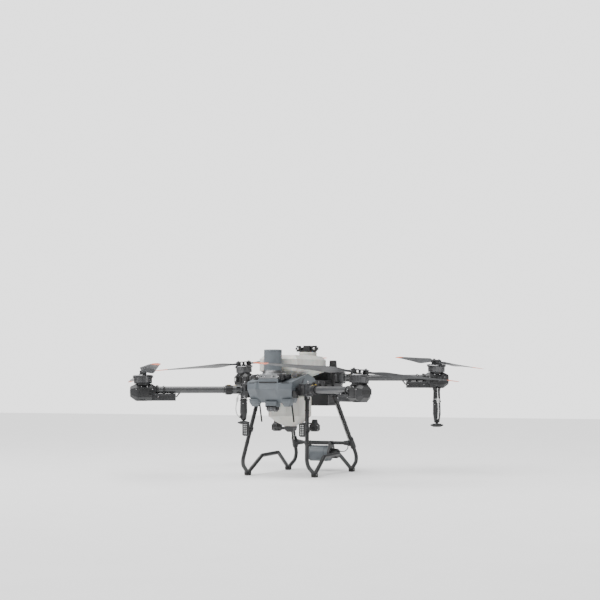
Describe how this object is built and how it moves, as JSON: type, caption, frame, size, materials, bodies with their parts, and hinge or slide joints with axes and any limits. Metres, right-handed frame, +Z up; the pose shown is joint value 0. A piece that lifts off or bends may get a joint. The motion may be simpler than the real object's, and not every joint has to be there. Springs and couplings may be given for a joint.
{
  "type": "agricultural spray drone",
  "caption": "Folding multirotor sprayer with a liquid tank between bent-tube landing gear, canted rotors, radar nose and spinning-disc nozzles.",
  "frame": {"origin": "on the ground, midway between the four motors", "axes": "-Y is forward (nose), +X is the machine's own left, +Z is up"},
  "size_m": [2.2899, 2.288, 0.8043],
  "materials": {
    "centre_frame": "black anodised",
    "nose_shell": "blue-grey satin gloss",
    "front_radar": "blue-grey satin",
    "radar_mount": "grey anodised",
    "nose_sensors": "black moulded",
    "rod_antennas": "black",
    "spray_tank": "translucent warm grey",
    "spray_pumps": "black moulded",
    "landing_gear_left": "satin black tube",
    "landing_gear_right": "satin black tube",
    "foot_pads": "black rubber",
    "rear_crossbar": "satin black",
    "rear_radar": "blue-grey satin",
    "rear_radar_mount": "satin black",
    "work_lights": "black with clear lamps",
    "gnss_antennas": "satin black",
    "arm_hinge_brackets": "black anodised",
    "arm_hinge_pins": "bright turned",
    "leg_cables": "black",
    "flight_controller": "black case",
    "frame_bolts": "bright zinc",
    "fpv_camera": "black gloss",
    "tank_lid": "black moulded",
    "lid_knob_left": "black moulded",
    "lid_knob_right": "black moulded",
    "battery": "dark moulded",
    "arm_front_left": "satin carbon fibre",
    "motor_pod_front_left": "satin moulded",
    "motor_bell_front_left": "dark anodised",
    "blade_clamp_front_left": "black anodised",
    "lock_sleeve_front_left": "moulded, ribbed",
    "blade_a_front_left": "satin with orange tip",
    "blade_b_front_left": "satin with orange tip",
    "arm_front_right": "satin carbon fibre",
    "motor_pod_front_right": "satin moulded",
    "motor_bell_front_right": "dark anodised",
    "blade_clamp_front_right": "black anodised",
    "lock_sleeve_front_right": "moulded, ribbed",
    "blade_a_front_right": "satin with orange tip",
    "blade_b_front_right": "satin with orange tip",
    "arm_rear_left": "satin carbon fibre",
    "motor_pod_rear_left": "satin moulded",
    "spray_boom_rear_left": "satin moulded",
    "spray_line_rear_left": "hose and cable",
    "motor_bell_rear_left": "dark anodised",
    "blade_clamp_rear_left": "black anodised",
    "lock_sleeve_rear_left": "moulded, ribbed",
    "spray_disc_rear_left": "satin moulded",
    "blade_a_rear_left": "satin with orange tip",
    "blade_b_rear_left": "satin with orange tip",
    "arm_rear_right": "satin carbon fibre",
    "motor_pod_rear_right": "satin moulded",
    "spray_boom_rear_right": "satin moulded",
    "spray_line_rear_right": "hose and cable",
    "motor_bell_rear_right": "dark anodised",
    "blade_clamp_rear_right": "black anodised",
    "lock_sleeve_rear_right": "moulded, ribbed",
    "spray_disc_rear_right": "satin moulded",
    "blade_a_rear_right": "satin with orange tip",
    "blade_b_rear_right": "satin with orange tip"
  },
  "bodies": {
    "airframe": {"centre_frame": "centre_frame", "nose_shell": "nose_shell", "front_radar": "front_radar", "radar_mount": "radar_mount", "nose_sensors": "nose_sensors", "rod_antennas": "rod_antennas", "spray_tank": "spray_tank", "spray_pumps": "spray_pumps", "landing_gear_left": "landing_gear_left", "landing_gear_right": "landing_gear_right", "foot_pads": "foot_pads", "rear_crossbar": "rear_crossbar", "rear_radar": "rear_radar", "rear_radar_mount": "rear_radar_mount", "work_lights": "work_lights", "gnss_antennas": "gnss_antennas", "arm_hinge_brackets": "arm_hinge_brackets", "arm_hinge_pins": "arm_hinge_pins", "leg_cables": "leg_cables", "flight_controller": "flight_controller", "frame_bolts": "frame_bolts"},
    "fpv_camera": {"fpv_camera": "fpv_camera"},
    "tank_lid": {"tank_lid": "tank_lid"},
    "lid_knob_left": {"lid_knob_left": "lid_knob_left"},
    "lid_knob_right": {"lid_knob_right": "lid_knob_right"},
    "battery": {"battery": "battery"},
    "arm_front_left": {"arm_front_left": "arm_front_left", "motor_pod_front_left": "motor_pod_front_left"},
    "rotor_front_left": {"motor_bell_front_left": "motor_bell_front_left", "blade_clamp_front_left": "blade_clamp_front_left"},
    "lock_sleeve_front_left": {"lock_sleeve_front_left": "lock_sleeve_front_left"},
    "blade_a_front_left": {"blade_a_front_left": "blade_a_front_left"},
    "blade_b_front_left": {"blade_b_front_left": "blade_b_front_left"},
    "arm_front_right": {"arm_front_right": "arm_front_right", "motor_pod_front_right": "motor_pod_front_right"},
    "rotor_front_right": {"motor_bell_front_right": "motor_bell_front_right", "blade_clamp_front_right": "blade_clamp_front_right"},
    "lock_sleeve_front_right": {"lock_sleeve_front_right": "lock_sleeve_front_right"},
    "blade_a_front_right": {"blade_a_front_right": "blade_a_front_right"},
    "blade_b_front_right": {"blade_b_front_right": "blade_b_front_right"},
    "arm_rear_left": {"arm_rear_left": "arm_rear_left", "motor_pod_rear_left": "motor_pod_rear_left", "spray_boom_rear_left": "spray_boom_rear_left", "spray_line_rear_left": "spray_line_rear_left"},
    "rotor_rear_left": {"motor_bell_rear_left": "motor_bell_rear_left", "blade_clamp_rear_left": "blade_clamp_rear_left"},
    "lock_sleeve_rear_left": {"lock_sleeve_rear_left": "lock_sleeve_rear_left"},
    "spray_disc_rear_left": {"spray_disc_rear_left": "spray_disc_rear_left"},
    "blade_a_rear_left": {"blade_a_rear_left": "blade_a_rear_left"},
    "blade_b_rear_left": {"blade_b_rear_left": "blade_b_rear_left"},
    "arm_rear_right": {"arm_rear_right": "arm_rear_right", "motor_pod_rear_right": "motor_pod_rear_right", "spray_boom_rear_right": "spray_boom_rear_right", "spray_line_rear_right": "spray_line_rear_right"},
    "rotor_rear_right": {"motor_bell_rear_right": "motor_bell_rear_right", "blade_clamp_rear_right": "blade_clamp_rear_right"},
    "lock_sleeve_rear_right": {"lock_sleeve_rear_right": "lock_sleeve_rear_right"},
    "spray_disc_rear_right": {"spray_disc_rear_right": "spray_disc_rear_right"},
    "blade_a_rear_right": {"blade_a_rear_right": "blade_a_rear_right"},
    "blade_b_rear_right": {"blade_b_rear_right": "blade_b_rear_right"}
  },
  "joints": [
    {"name": "arm_fold_front_left", "type": "hinge", "parent": "airframe", "child": "arm_front_left", "pos_m": [0.212, -0.272, 0.524], "axis": [0, 0, -1], "range_deg": [-108, 0]},
    {"name": "lock_turn_front_left", "type": "hinge", "parent": "arm_front_left", "child": "lock_sleeve_front_left", "pos_m": [0.29141, -0.33441, 0.524], "axis": [0.7862, -0.6179, 0], "range_deg": [0, 90]},
    {"name": "rotor_spin_front_left", "type": "hinge", "parent": "arm_front_left", "child": "rotor_front_left", "pos_m": [0.7025, -0.6575, 0.605], "axis": [0.0485, 0.0617, 0.9969], "continuous": true},
    {"name": "blade_fold_a_front_left", "type": "hinge", "parent": "rotor_front_left", "child": "blade_a_front_left", "pos_m": [0.7278, -0.62728, 0.62146], "axis": [0.0485, 0.0617, 0.9969], "range_deg": [-130.7, 0.5]},
    {"name": "blade_fold_b_front_left", "type": "hinge", "parent": "rotor_front_left", "child": "blade_b_front_left", "pos_m": [0.67909, -0.68532, 0.62742], "axis": [0.0485, 0.0617, 0.9969], "range_deg": [-0.5, 2.5]},
    {"name": "arm_fold_front_right", "type": "hinge", "parent": "airframe", "child": "arm_front_right", "pos_m": [-0.212, -0.272, 0.524], "axis": [0, 0, 1], "range_deg": [-108, 0]},
    {"name": "lock_turn_front_right", "type": "hinge", "parent": "arm_front_right", "child": "lock_sleeve_front_right", "pos_m": [-0.29141, -0.33441, 0.524], "axis": [-0.7862, -0.6179, 0], "range_deg": [0, 90]},
    {"name": "rotor_spin_front_right", "type": "hinge", "parent": "arm_front_right", "child": "rotor_front_right", "pos_m": [-0.7025, -0.6575, 0.605], "axis": [0.0485, -0.0617, -0.9969], "continuous": true},
    {"name": "blade_fold_a_front_right", "type": "hinge", "parent": "rotor_front_right", "child": "blade_a_front_right", "pos_m": [-0.72677, -0.62645, 0.62146], "axis": [-0.0485, 0.0617, 0.9969], "range_deg": [-0.5, 132.7]},
    {"name": "blade_fold_b_front_right", "type": "hinge", "parent": "rotor_front_right", "child": "blade_b_front_right", "pos_m": [-0.68012, -0.68615, 0.62742], "axis": [-0.0485, 0.0617, 0.9969], "range_deg": [-2.5, 0.5]},
    {"name": "arm_fold_rear_left", "type": "hinge", "parent": "airframe", "child": "arm_rear_left", "pos_m": [0.158, 0.36, 0.6], "axis": [0, 0, 1], "range_deg": [-90, 0]},
    {"name": "lock_turn_rear_left", "type": "hinge", "parent": "arm_rear_left", "child": "lock_sleeve_rear_left", "pos_m": [0.24663, 0.40843, 0.6], "axis": [0.8776, 0.4795, 0], "range_deg": [0, 90]},
    {"name": "rotor_spin_rear_left", "type": "hinge", "parent": "arm_rear_left", "child": "rotor_rear_left", "pos_m": [0.7025, 0.6575, 0.681], "axis": [0.0376, -0.0689, 0.9969], "continuous": true},
    {"name": "blade_fold_a_rear_left", "type": "hinge", "parent": "rotor_rear_left", "child": "blade_a_rear_left", "pos_m": [0.67737, 0.68385, 0.70333], "axis": [0.0376, -0.0689, 0.9969], "range_deg": [-98.2, 0.5]},
    {"name": "blade_fold_b_rear_left", "type": "hinge", "parent": "rotor_rear_left", "child": "blade_b_rear_left", "pos_m": [0.7291, 0.62847, 0.69755], "axis": [0.0376, -0.0689, 0.9969], "range_deg": [-0.5, 68.8]},
    {"name": "disc_spin_rear_left", "type": "hinge", "parent": "arm_rear_left", "child": "spray_disc_rear_left", "pos_m": [0.7025, 0.6575, 0.3], "axis": [0, 0, 1], "continuous": true},
    {"name": "arm_fold_rear_right", "type": "hinge", "parent": "airframe", "child": "arm_rear_right", "pos_m": [-0.158, 0.36, 0.6], "axis": [0, 0, -1], "range_deg": [-90, 0]},
    {"name": "lock_turn_rear_right", "type": "hinge", "parent": "arm_rear_right", "child": "lock_sleeve_rear_right", "pos_m": [-0.24663, 0.40843, 0.6], "axis": [-0.8776, 0.4795, 0], "range_deg": [0, 90]},
    {"name": "rotor_spin_rear_right", "type": "hinge", "parent": "arm_rear_right", "child": "rotor_rear_right", "pos_m": [-0.7025, 0.6575, 0.681], "axis": [0.0376, 0.0689, -0.9969], "continuous": true},
    {"name": "blade_fold_a_rear_right", "type": "hinge", "parent": "rotor_rear_right", "child": "blade_a_rear_right", "pos_m": [-0.67886, 0.68517, 0.70336], "axis": [-0.0376, -0.0689, 0.9969], "range_deg": [-0.5, 95.2]},
    {"name": "blade_fold_b_rear_right", "type": "hinge", "parent": "rotor_rear_right", "child": "blade_b_rear_right", "pos_m": [-0.7276, 0.62715, 0.69752], "axis": [-0.0376, -0.0689, 0.9969], "range_deg": [-71.8, 0.5]},
    {"name": "disc_spin_rear_right", "type": "hinge", "parent": "arm_rear_right", "child": "spray_disc_rear_right", "pos_m": [-0.7025, 0.6575, 0.3], "axis": [0, 0, 1], "continuous": true},
    {"name": "camera_tilt", "type": "hinge", "parent": "airframe", "child": "fpv_camera", "pos_m": [0, -0.318, 0.414], "axis": [1, 0, 0], "range_deg": [-20, 30]},
    {"name": "lid_hinge", "type": "hinge", "parent": "airframe", "child": "tank_lid", "pos_m": [0, 0.257, 0.77], "axis": [-1, 0, 0], "range_deg": [0, 100]},
    {"name": "knob_turn_left", "type": "hinge", "parent": "tank_lid", "child": "lid_knob_left", "pos_m": [0.056, 0.18, 0.7843], "axis": [0, -1, 0], "continuous": true},
    {"name": "knob_turn_right", "type": "hinge", "parent": "tank_lid", "child": "lid_knob_right", "pos_m": [-0.056, 0.18, 0.7843], "axis": [0, -1, 0], "continuous": true},
    {"name": "battery_lift", "type": "slide", "parent": "airframe", "child": "battery", "axis": [0, 0, 1], "range_m": [0, 0.23]}
  ],
  "couplings": [
    {"joint": "blade_fold_a_front_left", "follows": "arm_fold_front_left", "ratio": 1.2056},
    {"joint": "blade_fold_b_front_left", "follows": "arm_fold_front_left", "ratio": -0.018519},
    {"joint": "blade_fold_a_front_right", "follows": "arm_fold_front_right", "ratio": -1.2241},
    {"joint": "blade_fold_b_front_right", "follows": "arm_fold_front_right", "ratio": 0.018519},
    {"joint": "blade_fold_a_rear_left", "follows": "arm_fold_rear_left", "ratio": 1.0856},
    {"joint": "blade_fold_b_rear_left", "follows": "arm_fold_rear_left", "ratio": -0.75889},
    {"joint": "blade_fold_a_rear_right", "follows": "arm_fold_rear_right", "ratio": -1.0522},
    {"joint": "blade_fold_b_rear_right", "follows": "arm_fold_rear_right", "ratio": 0.79222}
  ]
}
